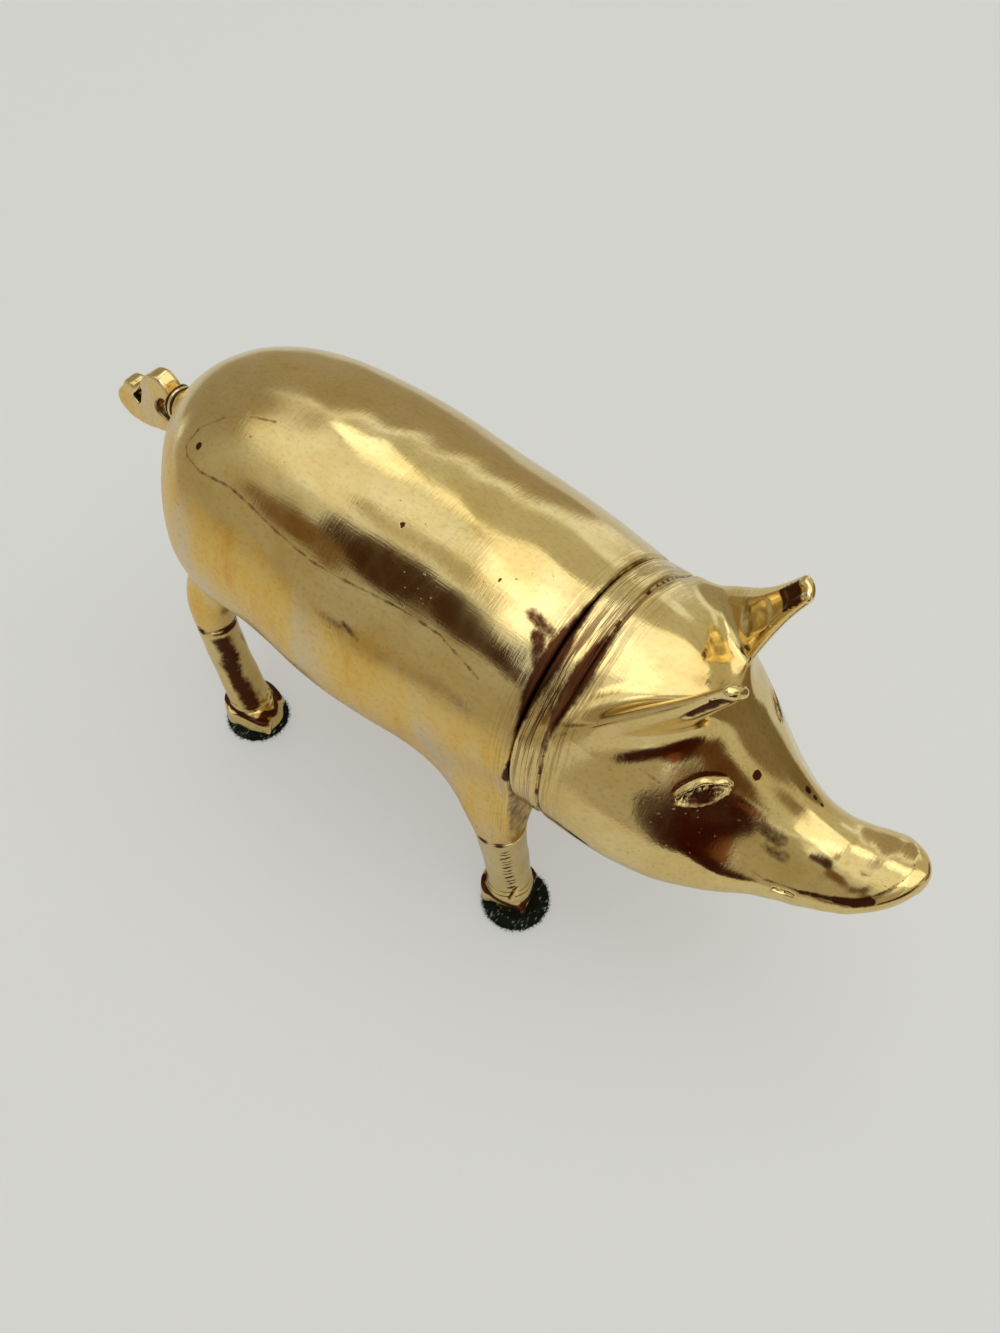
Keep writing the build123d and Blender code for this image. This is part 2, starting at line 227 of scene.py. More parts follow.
# Tail: side view of the flat curl, in place along the pig and height
tail_outline = [
    (-126.8, 85.6), (-124.6, 88.3), (-121.6, 89.2), (-119.4, 88.9), (-116.9, 91.2), (-114.1, 94.5),
    (-110.9, 96.8), (-108.1, 97.4), (-105.6, 96.3), (-103.9, 93.8), (-102.9, 90.0), (-102.9, 86.0),
    (-104.0, 81.6), (-107.2, 78.0), (-112.0, 76.2), (-118.0, 75.0), (-123.2, 74.5), (-127.4, 75.5),
    (-129.7, 78.6), (-129.4, 82.2),
]
tail_loop = [
    (-110.9, 85.4), (-110.3, 87.6), (-108.2, 89.9), (-105.9, 90.3), (-104.8, 87.9), (-104.8, 85.1),
    (-106.6, 82.9), (-109.4, 83.6),
]
tail_slot = [
    (-121.6, 84.3), (-120.6, 85.9), (-118.2, 88.2), (-116.6, 90.2), (-116.3, 88.9), (-117.6, 86.2),
    (-118.6, 84.0), (-120.0, 82.6),
]
tail_half_thickness = 2.9
tail_edge_round = 1.6
tail_hole_round = 0.7
stem_axis_height = 90.0
stem_radius = 5.2
stem_end_x = -103.3
stem_end_round = 0.8
stem_collar_at = -98.0
stem_collar_rise = 0.5
stem_grooves_at = [-100.6, -102.4]
stem_groove_depth = 0.45
stem_blend = 0.8

# Brass: tones over its noise, marks and roughness
polished_tones = [(0.30, (0.72, 0.52, 0.19)), (0.50, (0.79, 0.61, 0.26)), (0.70, (0.84, 0.69, 0.34))]
satin_tones = [
    (0.28, (0.74, 0.40, 0.07)),
    (0.42, (0.84, 0.56, 0.14)),
    (0.55, (0.82, 0.60, 0.25)),
    (0.68, (0.74, 0.61, 0.42)),
]
wear_colour = (0.90, 0.75, 0.40)
grain_colour = (0.50, 0.33, 0.13)
# Colour of stains and pits, and of the painted dark reflections on the snout and legs
stain_and_painted_reflection_colour = (0.075, 0.024, 0.010)
filed_colour = (0.13, 0.05, 0.02)
polished_roughness = (0.09, 0.19)
satin_extra_roughness = 0.17
stain_and_painted_reflection_extra_roughness = 0.16
filed_extra_roughness = 0.12
brass_bump = 0.00006
# Scratches on the brass: cycles a metre along each axis, and their turn
scratches = [((120.0, 2200.0, 1400.0), (0, 0, 35)), ((2000.0, 140.0, 300.0), (0, 30, -50))]
neck_axis_height = 79.0
# Edge of the unpolished lower flanks
satin_edge_height = 97.0
spot_soft = 0.5
# Dark spots: place and radius
body_spots = [
    ((-62.7, -23.6, 111.4), 1.0),
    ((-3.0, -15.9, 115.4), 0.9),
    ((-20.4, 8.6, 119.8), 0.5),
    ((-18.8, 8.6, 119.6), 0.4),
    ((-22.0, 8.9, 119.9), 0.4),
    ((23.2, -13.3, 112.4), 0.5),
    ((26.0, -11.0, 112.8), 0.4),
    ((20.5, -15.6, 112.0), 0.4),
]
# Dark smears: both ends, half width, soft edge, strength
body_streaks = [
    (((-5.5, -35.0, 96.6), (-1.0, -36.0, 95.2)), 0.3, 1.8, 0.50),
    (((33.5, -14.8, 109.6), (41.0, -16.2, 107.9)), 0.6, 3.0, 0.58),
    (((37.0, -17.5, 107.6), (40.8, -22.5, 104.2)), 0.6, 3.4, 0.60),
    (((43.0, -34.2, 82.0), (42.0, -34.6, 76.0)), 0.7, 1.6, 0.70),
]
# Faint wavy line from the rump along the flank, on the right side
flank_line = [
    (-46.4, -12.0, 119.8), (-53.4, -13.7, 118.8), (-59.8, -16.4, 116.9), (-65.5, -20.2, 113.4),
    (-67.1, -24.1, 109.7), (-65.4, -25.9, 108.6), (-58.6, -27.9, 108.4), (-47.8, -27.9, 109.6),
    (-38.3, -29.0, 108.6), (-30.9, -30.0, 107.3), (-19.1, -30.8, 105.5), (-7.4, -29.9, 104.9),
    (6.4, -28.3, 104.5), (17.8, -27.9, 103.2), (30.5, -29.6, 98.8),
]
flank_line_half = 0.1
flank_line_soft = 1.0
flank_line_strength = 0.48
# Smears on the head, with the columns of the dark smears above. The first six run along the underside of the
# snout and are a painted dark reflection.
head_smears_and_painted_reflection = [
    (((95.6, -16.0, 68.3), (100.3, -14.5, 66.0)), 0.1, 0.9, 0.45),
    (((100.3, -14.5, 66.0), (108.0, -12.4, 66.3)), 0.1, 0.9, 0.55),
    (((108.0, -12.4, 66.3), (115.4, -11.7, 70.2)), 0.2, 1.0, 0.65),
    (((115.4, -11.7, 70.2), (119.0, -11.0, 72.3)), 0.4, 1.3, 0.75),
    (((119.0, -11.0, 72.3), (121.8, -10.0, 74.5)), 0.6, 1.4, 0.75),
    (((121.8, -10.0, 74.5), (124.5, -5.8, 78.3)), 0.1, 1.2, 0.45),
    (((76.0, -20.6, 84.5), (82.0, -18.5, 81.0)), 0.4, 3.4, 0.42),
    (((69.2, -22.8, 91.4), (74.2, -21.3, 88.4)), 0.0, 1.6, 0.45),
    (((66.6, -25.2, 88.2), (72.0, -23.8, 85.6)), 0.0, 1.4, 0.42),
    (((95.0, -10.4, 77.6), (99.4, -9.2, 74.8)), 0.8, 3.2, 0.50),
    (((97.4, -12.6, 73.6), (101.6, -10.6, 72.0)), 0.8, 2.6, 0.52),
]
head_spots = [
    ((88.6, -5.3, 86.9), 1.2),
    ((98.2, 3.3, 79.6), 1.0),
    ((100.3, 3.3, 78.3), 0.7),
    ((102.2, 3.3, 77.2), 0.5),
    ((84.6, -7.6, 89.0), 0.4),
]
# Hatched strip down each leg: its way from straight ahead, outward, half its angle, and its heights
leg_ticks = {"front": (44.0, 17.0, 13.0, 41.0), "rear": (12.0, 13.0, 26.0, 37.0)}
# Painted dark reflection in a strip down each leg: its way, half its angle, heights and strength
leg_painted_reflection_strips = {"front": (66.0, 10.0, 8.0, 14.0, 0.25), "rear": (33.0, 40.0, 9.0, 43.0, 0.72)}

# Felt pads and the adhesive on them
pad_radius = 9.5
pad_thickness = 2.75
glue_radius = 6.5
glue_thickness = 0.25
# Rings up a pad: share of its thickness, share of its radius
pad_rings = [(0.0, 0.55), (0.0, 0.955), (0.15, 0.99), (0.5, 1.0), (0.85, 0.99), (1.0, 0.955), (1.0, 0.5)]
pad_sides = 96
pad_fray = 0.045
glue_sides = 48
felt_tones = [(0.0, (0.003, 0.005, 0.004)), (1.0, (0.012, 0.018, 0.014))]
glue_tones = [(0.35, (0.004, 0.004, 0.003)), (0.65, (0.012, 0.009, 0.007))]
felt_bump = 0.0003

dust_colour = (0.26, 0.33, 0.24)
pad_fibres = 900
fibre_length = (0.4, 1.5)
fibre_half = 0.06

# Camera of the photograph
camera_at = (132.0, -150.44, 302.72)
camera_forward = (-0.38601, 0.48635, -0.78387)
camera_right = (0.7833, 0.6217, 0.0)
camera_lens_mm = 31.645

# Paper floor
floor_half = 3.0
floor_fades_at = (0.62, 0.95)
# Two edges of the paper: way to each, and where it ends
floor_edges = [((0.624, -0.782, 0.0), (0.212, 0.220)), ((0.782, 0.624, 0.0), (0.325, 0.345))]
floor_colour = (0.75, 0.755, 0.745)
floor_seen = (0.71, 0.715, 0.70)
floor_seen_share = 0.5
floor_mirrored_share = 0.2
backdrop_colour = (0.63, 0.635, 0.62)
# Colour of the studio from straight down to straight up: sine of the elevation, colour
studio_heights = [
    (-1.0, (0.46, 0.44, 0.40)),
    (-0.05, (0.42, 0.38, 0.30)),
    (0.17, (0.40, 0.36, 0.28)),
    (0.50, (0.46, 0.44, 0.38)),
    (0.77, (0.68, 0.69, 0.67)),
    (0.90, (0.86, 0.88, 0.88)),
    (1.0, (0.96, 0.98, 1.00)),
]
# Parts of the studio that the brass mirrors: azimuth, elevation, core and rim angle, colour
studio_patches = [
    (40.0, 0.0, 92.5, 94.5, (0.86, 0.88, 0.84)),
    (40.0, 0.0, 86.0, 90.5, (0.56, 0.54, 0.43)),
    (-52.0, 2.0, 42.0, 45.5, (0.95, 0.98, 0.98)),
    (-52.0, 2.0, 36.0, 41.0, (0.37, 0.32, 0.235)),
    (-84.0, 24.0, 18.0, 34.0, (0.34, 0.30, 0.23)),
    (-112.0, 61.0, 10.0, 22.0, (0.94, 0.95, 0.90)),
    (-8.0, 24.0, 4.0, 11.0, (0.90, 0.95, 0.98)),
    (166.0, 44.0, 7.0, 17.0, (0.98, 1.02, 1.02)),
    (-146.0, 68.0, 4.0, 11.0, (0.50, 0.46, 0.34)),
    (-163.0, 44.0, 9.0, 16.0, (0.05, 0.020, 0.010)),
    (-146.0, 28.0, 6.0, 13.0, (0.17, 0.095, 0.038)),
    (178.0, 36.0, 5.0, 10.0, (0.06, 0.024, 0.012)),
    (118.0, -8.0, 14.0, 18.0, (0.034, 0.005, 0.002)),
    (136.0, -16.0, 8.5, 12.0, (0.030, 0.004, 0.002)),
    (104.0, 8.0, 7.0, 14.0, (0.10, 0.04, 0.015)),
    (127.0, 0.0, 2.0, 7.0, (0.16, 0.045, 0.012)),
    (-160.0, -9.0, 4.0, 8.0, (0.06, 0.020, 0.010)),
    (40.0, -4.0, 20.0, 25.0, (0.19, 0.15, 0.08)),
    (60.0, 8.0, 12.0, 18.0, (0.22, 0.17, 0.10)),
    (79.0, 38.0, 8.0, 16.0, (0.24, 0.17, 0.09)),
]
# Lamps: azimuth, elevation, distance, size and power
lamps = {"key": (-50.0, 60.0, 3.0, 0.8, 1.8), "fill": (84.0, 70.0, 3.0, 3.4, 30.0)}

# Nets of the castings: corners of their boxes and size of their cells
body_net = ((-96, -43, 40), (44, 43, 124), 1.4)
head_net = ((40, -37, 46), (132, 37, 129), 1.1)
tail_net = ((-131, -7, 73), (-90, 7, 99), 0.6)
leg_net_step = 1.0
seed = 5


def spline(places, values):
    """A natural cubic through the values, as a function of place, straight beyond both ends."""
    x = np.array(places, float)
    y = np.array(values, float)
    gap = np.diff(x)
    rise = np.diff(y) / gap
    size = len(x)
    rows = np.eye(size)
    right = np.zeros(size)
    for i in range(1, size - 1):
        rows[i, i - 1:i + 2] = gap[i - 1], 2 * (gap[i - 1] + gap[i]), gap[i]
        right[i] = 6 * (rise[i] - rise[i - 1])
    bend = np.linalg.solve(rows, right)
    first_slope = rise[0] - gap[0] * (2 * bend[0] + bend[1]) / 6
    last_slope = rise[-1] + gap[-1] * (bend[-2] + 2 * bend[-1]) / 6

    def value(at):
        inside = np.clip(at, x[0], x[-1])
        i = np.clip(np.searchsorted(x, inside) - 1, 0, size - 2)
        near = (x[i + 1] - inside) / gap[i]
        far = 1 - near
        arc = ((near**3 - near) * bend[i] + (far**3 - far) * bend[i + 1]) * gap[i]**2 / 6
        beyond = at - inside
        return near * y[i] + far * y[i + 1] + arc + np.where(beyond < 0, first_slope, last_slope) * beyond

    return value


def unit(vectors):
    vectors = np.asarray(vectors, float)
    return vectors / np.linalg.norm(vectors, axis=-1, keepdims=True)


def join(a, b, reach):
    """Union of two solids, with a fillet about as wide as reach."""
    near = np.maximum(reach - np.abs(a - b), 0) / reach
    return np.minimum(a, b) - near**2 * reach / 4


def meet(a, b, reach):
    """What two solids share, with a rounded edge."""
    return -join(-a, -b, reach)


def bump(distance, half):
    return np.exp(-(distance / half)**2)


def fade(value, low, high):
    """From 0 at low to 1 at high, smoothly."""
    share = np.clip((value - low) / (high - low), 0, 1)
    return share**2 * (3 - 2 * share)


def window(value, rise_from, rise_to, fall_from, fall_to):
    """1 between two soft ends, and 0 outside them."""
    return fade(value, rise_from, rise_to) * (1 - fade(value, fall_from, fall_to))


def oval(a, half_a, b, half_b):
    """Distance from an oval, scaled by its second half width."""
    return (np.hypot(a / half_a, b / half_b) - 1) * half_b


def fold(p):
    """Both sides of the pig, folded onto its right side."""
    return p * [1, 0, 1] - np.abs(p * [0, 1, 0])


skin_x = [row[0] for row in skin_stations]
skin_middle = spline(skin_x, [row[1] for row in skin_stations])
skin_depth_squared = spline(skin_x, [row[2]**2 for row in skin_stations])
skin_width_squared = spline(skin_x, [row[3]**2 for row in skin_stations])
skin_pear = spline(skin_x, [row[4] for row in skin_stations])


def plain_skin(p):
    """Distance from the smooth skin of the barrel and head, below 0 inside."""
    x, y, z = p[:, 0], p[:, 1], p[:, 2]
    x = x + snout_lean * fade(x, snout_lean_from, snout_lean_to) * (snout_lean_height - z)
    depth2 = skin_depth_squared(x)
    half_depth = np.sqrt(np.maximum(depth2, 1.0))
    half_width = np.sqrt(np.maximum(skin_width_squared(x), 1.0))
    drop = (z - skin_middle(x)) / half_depth
    pear = 1 + skin_pear(x) * np.clip(drop, -1, 1)
    reach = drop**2 + pear * (y / half_width)**2
    scale = np.maximum(half_depth, cap_radius)
    return (reach * half_depth**2 - depth2) / (2 * scale)


def slope(p, field, reach=0.05):
    """How a field changes along each axis."""
    columns = []
    for axis in range(3):
        step = np.zeros(3)
        step[axis] = reach
        columns.append((field(p + step) - field(p - step)) / (2 * reach))
    return np.stack(columns, 1)


def wave_table(count, longest, shortest, height, key):
    """Seeded random waves: their directions, phases and heights."""
    source = random.Random(key)
    table = []
    for i in range(count):
        length = longest + (shortest - longest) * source.random()
        direction = unit([source.gauss(0, 1), source.gauss(0, 1), source.gauss(0, 1)])
        table.append((direction * 2 * math.pi / length, source.random() * 2 * math.pi, height))
    return table


hand_waves = wave_table(9, 42.0, 24.0, 0.055, seed) + wave_table(14, 15.0, 9.0, 0.013, seed + 3)
leg_waves = wave_table(10, 16.0, 7.0, 0.04, seed + 1)
tail_waves = wave_table(10, 9.0, 4.0, 0.03, seed + 2)


def waves(p, table):
    return sum(height * np.sin(p @ turn + phase) for turn, phase, height in table)


class Patch:
    """A place on the skin, with directions ahead, up and out of it. It also serves the mirrored side."""

    def __init__(self, at, ahead):
        self.at = np.array([at], float)
        for i in range(4):
            way = slope(self.at, plain_skin)
            self.at -= way * (plain_skin(self.at) / (way**2).sum(1))[:, None]
        self.out = unit(slope(self.at, plain_skin))[0]
        ahead = np.array(ahead, float)
        self.ahead = unit(ahead - self.out * (ahead @ self.out))
        self.up = np.cross(self.out, self.ahead)
        if self.up[2] < 0:
            self.up = -self.up

    def place(self, p):
        """Distances ahead, up and out, with both sides of the pig folded onto the right side."""
        off = fold(p) - self.at
        return off @ self.ahead, off @ self.up, off @ self.out


eye_patch = Patch(eye_at, eye_ahead)
cheek_patch = Patch(cheek_at, cheek_ahead)
mouth_patch = Patch(mouth_at, mouth_ahead)
cheek_way = unit(cheek_facing)
cheek_ball = cheek_patch.at[0] + cheek_way * (cheek_ball_radius - cheek_depth)


def eye_relief(p):
    """An almond socket with a ball in it, heavy chiselled lids and a rough floor."""
    ahead, up, out = eye_patch.place(p)
    inside = np.clip(1 - (ahead / eye_half_length)**2, 0, 1)
    lid = eye_half_opening * inside
    open_share = fade(lid - up, 0, 0.9) * fade(up + lid, 0, 2.4) * fade(inside, 0, 0.5)
    off2 = (ahead - eyeball_at[0])**2 + (up - eyeball_at[1])**2
    ball = eyeball_height * np.clip(1 - off2 / eyeball_radius_squared, 0, 1)
    chisel = chisel_coarse * np.sin(ahead * 2.3 + up * 1.7) * np.sin(up * 2.9 - ahead * 1.1)
    chisel = chisel + chisel_fine * np.sin(ahead * 5.7 - up * 3.6 + np.sin(ahead * 1.9))
    above = up - lid
    upper_lid = lid_height * bump(above - 0.3 - 0.3 * np.sin(ahead * 1.1 + 1), lid_half)
    upper_lid = upper_lid * fade(ahead, -4.5, 2.5) * fade(inside, 0, 0.25)
    brow = brow_depth * bump(above - 1.9, brow_half) * fade(inside, 0.1, 0.6)
    return bump(out, eye_reach) * ((eye_socket_depth - ball + chisel) * open_share - upper_lid + brow)


def mouth_relief(p):
    ahead, up, out = mouth_patch.place(p)
    run = np.sqrt(np.clip(1 - (ahead / mouth_half_length)**2, 0, 1))
    return mouth_depth * run * bump(up - mouth_bow * ahead**2, mouth_half_opening) * bump(out, mouth_reach)


def snout_ridges(p):
    """Ridges that run round the snout and die out at both ends."""
    run = p[:, 0] + snout_lean * (snout_lean_height - p[:, 2]) + 0.02 * p[:, 1]**2
    first, last = snout_ridges_from, snout_ridges_to
    on = window(run, first, first + snout_ridges_rise, last - snout_ridges_fall, last)
    turn = 2 * math.pi * (run + 0.8 * np.sin(run / 7)) / snout_ridge_length
    return on * snout_ridge_height * np.sin(turn)


def skin(p):
    """The skin with its hand-finished waves, the second neck groove and the snout's ridges."""
    groove = second_groove_depth * bump(p[:, 0] - second_groove_x, second_groove_half)
    return plain_skin(p) + waves(p, hand_waves) + groove + snout_ridges(p)


def ring_curves(rings):
    """Smooth functions of the first column for the other columns of a table."""
    first = [row[0] for row in rings]
    return [spline(first, [row[i] for row in rings]) for i in range(1, len(rings[0]))]


def ring_values(curves, rings, share):
    """The columns of a table at some share, held at both its ends."""
    held = np.clip(share, rings[0][0], rings[-1][0])
    return [curve(held) for curve in curves]


def limb(p, curves, end, side):
    """Distance from an upright limb of oval sections."""
    ahead, out, half_length, half_width = (curve(p[:, 2]) for curve in curves)
    along = (p[:, 0] - foot_x[end] - ahead) / half_length
    across = (p[:, 1] - side * (foot_out + out)) / half_width
    return (np.sqrt(along**2 + across**2) - 1) * np.minimum(half_length, half_width)


stub_curves = {end: ring_curves(rings) for end, rings in stub_rings.items()}
leg_curves = {end: ring_curves(rings) for end, rings in leg_rings.items()}


def body_field(p):
    solid = skin(p)
    for end in ("front", "rear"):
        for side in (1, -1):
            stub = limb(p, stub_curves[end], end, side)
            stub = meet(stub, p[:, 2] - stub_rings[end][-1][0], stub_top_round)
            stub = meet(stub, joint_height + seam_gap - p[:, 2], joint_round)
            solid = join(solid, stub, stub_blend)
    return meet(solid, p[:, 0] - neck_x + seam_gap, seam_round)


def leg_place(p, end, side):
    """Distances ahead of a leg's foot and outward from it."""
    first = leg_rings[end][0]
    return p[:, 0] - foot_x[end] - first[1], side * p[:, 1] - foot_out - first[2]


def leg_turn(p, end, side):
    """Angle round a leg's axis, from straight ahead outward."""
    ahead, out = (curve(p[:, 2]) for curve in leg_curves[end][:2])
    return np.degrees(np.arctan2(side * p[:, 1] - foot_out - out, p[:, 0] - foot_x[end] - ahead))


def hoof(p, end, side, leg):
    """The swollen foot of a leg, cut to a point by two filed faces."""
    along, outward = leg_place(p, end, side)
    faces = []
    for way in (1, -1):
        turn = math.radians(toe_turn[end] + way * toe_face_turn)
        faces.append(along * math.cos(turn) + outward * math.sin(turn) - toe_face_reach[end])
    foot = meet(leg - hoof_swell, np.maximum(*faces), toe_face_round)
    above = p[:, 2] - hoof_top[end] + hoof_top_slant * along + 0.25 * np.sin(outward)
    return meet(foot, above, hoof_top_round)


def toe_crack(p, end, side):
    """A slanting crack in the outer face of a toe."""
    along, outward = leg_place(p, end, side)
    ahead, out, up = crack_at
    off = (outward - out) * 0.8 - (along - ahead) * 0.6 + 0.35 * (p[:, 2] - up)
    in_face = along + outward > 3.0
    return crack_depth * bump(off, crack_half) * in_face * window(p[:, 2], *crack_heights)


def leg_field(end, side):
    def field(p):
        z = p[:, 2]
        leg = limb(p, leg_curves[end], end, side)
        leg = join(leg, hoof(p, end, side, leg), hoof_blend) + waves(p, leg_waves)
        if end == "front":
            leg = leg + toe_crack(p, end, side)
        tilt = ankle_line_tilt * leg_place(p, end, side)[0]
        for up, depth in ankle_lines[end]:
            leg = leg + depth * bump(z - up - tilt, ankle_line_half)
        leg = meet(leg, z - joint_height + seam_gap, joint_round)
        return meet(leg, hoof_bottom - z, hoof_round)

    return field


class Ear:
    """Directions up, across and inward of one ear, and its ring curves."""

    def __init__(self, side):
        flip = np.array([1, side, 1])
        root, tip = (np.array(end) for end in ear_ends[side])
        self.root = root
        self.start = trough_start[side]
        self.height = np.linalg.norm(tip - root)
        self.up = unit(tip - root)
        across = np.array(ear_across) * flip
        self.across = unit(across - self.up * (across @ self.up))
        inward = np.cross(self.up, self.across)
        self.inward = inward if inward[1] * side < 0 else -inward
        self.curves = ring_curves(ear_rings)
        self.trough_curves = ring_curves(trough_rings)

    def place(self, p):
        """Share of the ear's height, and distances across and inward."""
        off = p - self.root
        return off @ self.up / self.height, off @ self.across, off @ self.inward

    def shape(self, p):
        """The ear's blade, with the slit in its outer face."""
        share, across, inward = self.place(p)
        shift, half_width, half_thickness = ring_values(self.curves, ear_rings, share)
        ear = oval(across - shift, half_width, inward, half_thickness)
        run = window(share, slit_from, slit_from + slit_fade, slit_to - slit_fade, slit_to)
        ear = ear + slit_depth * run * bump(across - slit_across, slit_half) * (inward < 0)
        return meet(ear, (share - 1) * self.height, ear_round)

    def trough(self, p):
        """The hollow of the inner face, with its filed steps."""
        share, across, inward = self.place(p)
        shift, half_width, half_depth, lift = ring_values(self.trough_curves, trough_rings, share)
        for step, depth in trough_steps:
            top = step + trough_step_rise
            lift = lift + depth * (fade(share, step, top) - fade(share, top, step + trough_step_fall))
        trough = oval(across - shift, half_width, inward - lift, half_depth)
        return meet(trough, (self.start - share) * self.height, trough_start_round)

    def stain_and_painted_reflection(self, p):
        """Darker in the slit, and in the trough near its tip and root."""
        share, across, inward = self.place(p)
        outer = np.abs(across)
        slit = window(share, slit_from, slit_from + 0.08, slit_to - 0.04, slit_to + 0.04)
        slit = slit * bump(across - slit_across, 1.4) * (inward < 0)
        tip = window(share, 0.66, 0.72, 0.90, 0.96) * (inward > 0.1) * (outer < 2.6)
        root = window(share, 0.22, 0.28, 0.34, 0.42) * (inward > 0.1) * (outer < 4.5)
        close = np.hypot(across, inward) < 9
        return close * np.max([0.9 * slit, 0.8 * tip, 0.45 * root], axis=0)


ears = [Ear(1), Ear(-1)]


def nose_rim(p):
    """A soft ridge round the snout where its disc begins."""
    lean = math.radians(nose_rim_tilt)
    off = p - np.array(nose_rim_at)
    ahead = off[:, 0] * math.cos(lean) - off[:, 2] * math.sin(lean) + nose_rim_bow * off[:, 1]**2
    return -nose_rim_height * bump(ahead, nose_rim_half)


def nostrils(p):
    x, out, up = nostril_at
    pit = oval(p[:, 2] - up, nostril_half_height, np.abs(p[:, 1]) - out, nostril_half_width)
    return meet(pit, x - nostril_depth - p[:, 0], nostril_round)


def cheek_scoop(p):
    """A large ball on each side that hollows the cheek below the eye, with a firm edge."""
    off = fold(p) - cheek_ball
    along = off @ cheek_patch.ahead
    return np.sqrt((off**2).sum(1) + along**2 * (cheek_stretch**-2 - 1)) - cheek_ball_radius


def head_field(p):
    solid = meet(skin(p), -cheek_scoop(p), cheek_edge_round)
    solid = solid + eye_relief(p) + mouth_relief(p) + nose_rim(p)
    solid = meet(solid, -nostrils(p), nostril_round)
    for ear in ears:
        solid = join(solid, ear.shape(p), ear_blend)
    for ear in ears:
        solid = meet(solid, -ear.trough(p), trough_edge)
    return meet(solid, neck_x + seam_gap - p[:, 0], seam_round)


def closed_curve(corners, count):
    """Points round a smooth closed curve through the corners."""
    corners = np.array(corners, float)
    size = len(corners)
    points = []
    for i in range(size):
        a, b, c, d = (corners[(i + k) % size] for k in (-1, 0, 1, 2))
        for k in range(count):
            t = k / count
            bend = (2 * a - 5 * b + 4 * c - d) * t**2
            points.append(0.5 * (2 * b + (c - a) * t + bend + (3 * b - a - 3 * c + d) * t**3))
    return np.array(points)


def outline_distance(p, outline):
    """Distance in side view from a closed outline, below 0 inside it."""
    x, z = p[:, 0], p[:, 2]
    nearest = np.full(len(p), np.inf)
    inside = np.zeros(len(p), bool)
    for (x_a, z_a), (x_b, z_b) in zip(outline, np.roll(outline, -1, axis=0)):
        run, rise = x_b - x_a, z_b - z_a
        share = np.clip(((x - x_a) * run + (z - z_a) * rise) / (run**2 + rise**2), 0, 1)
        nearest = np.minimum(nearest, (x - x_a - share * run)**2 + (z - z_a - share * rise)**2)
        if z_a != z_b:
            crosses = (z_a > z) != (z_b > z)
            inside ^= crosses & (x < x_a + (z - z_a) * run / rise)
    return np.sqrt(nearest) * np.where(inside, -1, 1)


curl = closed_curve(tail_outline, 4)
loop_hole = closed_curve(tail_loop, 4)
slot_hole = closed_curve(tail_slot, 4)


def tail_field(p):
    x, y, z = p[:, 0], p[:, 1], p[:, 2]
    plate = meet(outline_distance(p, curl), np.abs(y) - tail_half_thickness, tail_edge_round)
    for hole in (loop_hole, slot_hole):
        plate = meet(plate, -outline_distance(p, hole), tail_hole_round)
    radius = stem_radius + stem_collar_rise * bump(x - stem_collar_at, 1.0)
    for groove_x in stem_grooves_at:
        radius = radius - stem_groove_depth * bump(x - groove_x, 0.4)
    stem = meet(np.hypot(y, z - stem_axis_height) - radius, stem_end_x - x, stem_end_round)
    solid = join(plate, stem, stem_blend) + waves(p, tail_waves)
    return meet(solid, -plain_skin(p) - 0.1, 0.4)


def cell_count(inside):
    """How many of each cell's eight corners are inside."""
    count = inside.astype(int)
    for axis in range(3):
        size = count.shape[axis]
        count = np.take(count, range(size - 1), axis) + np.take(count, range(1, size), axis)
    return count


def edge_net(value, low, step, active):
    """Where the surface crosses the edges of each active cell, averaged."""
    cells = np.argwhere(active)
    total = np.zeros((len(cells), 3))
    count = np.zeros(len(cells))
    corners = [np.array([i, j, k]) for i in (0, 1) for j in (0, 1) for k in (0, 1)]
    for a in corners:
        for axis in range(3):
            if a[axis]:
                continue
            b = a.copy()
            b[axis] = 1
            at_a = value[tuple((cells + a).T)]
            at_b = value[tuple((cells + b).T)]
            crosses = (at_a < 0) != (at_b < 0)
            share = np.where(crosses, at_a / np.where(crosses, at_a - at_b, 1), 0)
            total += np.where(crosses[:, None], a + share[:, None] * (b - a), 0)
            count += crosses
    return cells, np.array(low) + (cells + total / count[:, None]) * step


def surface_net(field, low, high, step):
    """A net of four-sided faces over the surface where the field is 0."""
    axes = [np.arange(a, b + step, step) for a, b in zip(low, high)]
    grid = np.stack(np.meshgrid(*axes, indexing="ij"), -1)
    shape = grid.shape[:3]
    value = np.stack([field(part.reshape(-1, 3)).reshape(shape[1:]) for part in grid])
    inside = value < 0
    filled = cell_count(inside)
    active = (filled > 0) & (filled < 8)
    cells, points = edge_net(value, low, step, active)
    number = np.full([n - 1 for n in shape], -1)
    number[tuple(cells.T)] = np.arange(len(cells))
    quads = []
    for axis in range(3):
        first = np.take(inside, range(shape[axis] - 1), axis)
        second = np.take(inside, range(1, shape[axis]), axis)
        edges = np.argwhere(first != second)
        others = [k for k in range(3) if k != axis]
        kept = np.all([(edges[:, k] > 0) & (edges[:, k] < shape[k] - 1) for k in others], axis=0)
        edges = edges[kept]
        u, v = np.zeros(3, int), np.zeros(3, int)
        u[others[0]], v[others[1]] = 1, 1
        ring = [number[tuple((edges - off).T)] for off in (u + v, v, 0 * u, u)]
        ring = np.stack(ring, 1)
        outward = first[tuple(edges.T)]
        if axis == 1:
            outward = ~outward
        ring[~outward] = ring[~outward][:, ::-1]
        quads.append(ring)
    return points, np.concatenate(quads)


def quad_edges(quads):
    """Each edge once, and which edge each side of each face is."""
    sides = np.stack([quads, np.roll(quads, -1, axis=1)], -1).reshape(-1, 2)
    edges, index = np.unique(np.sort(sides, 1), axis=0, return_inverse=True)
    return edges, index.reshape(-1, 4)


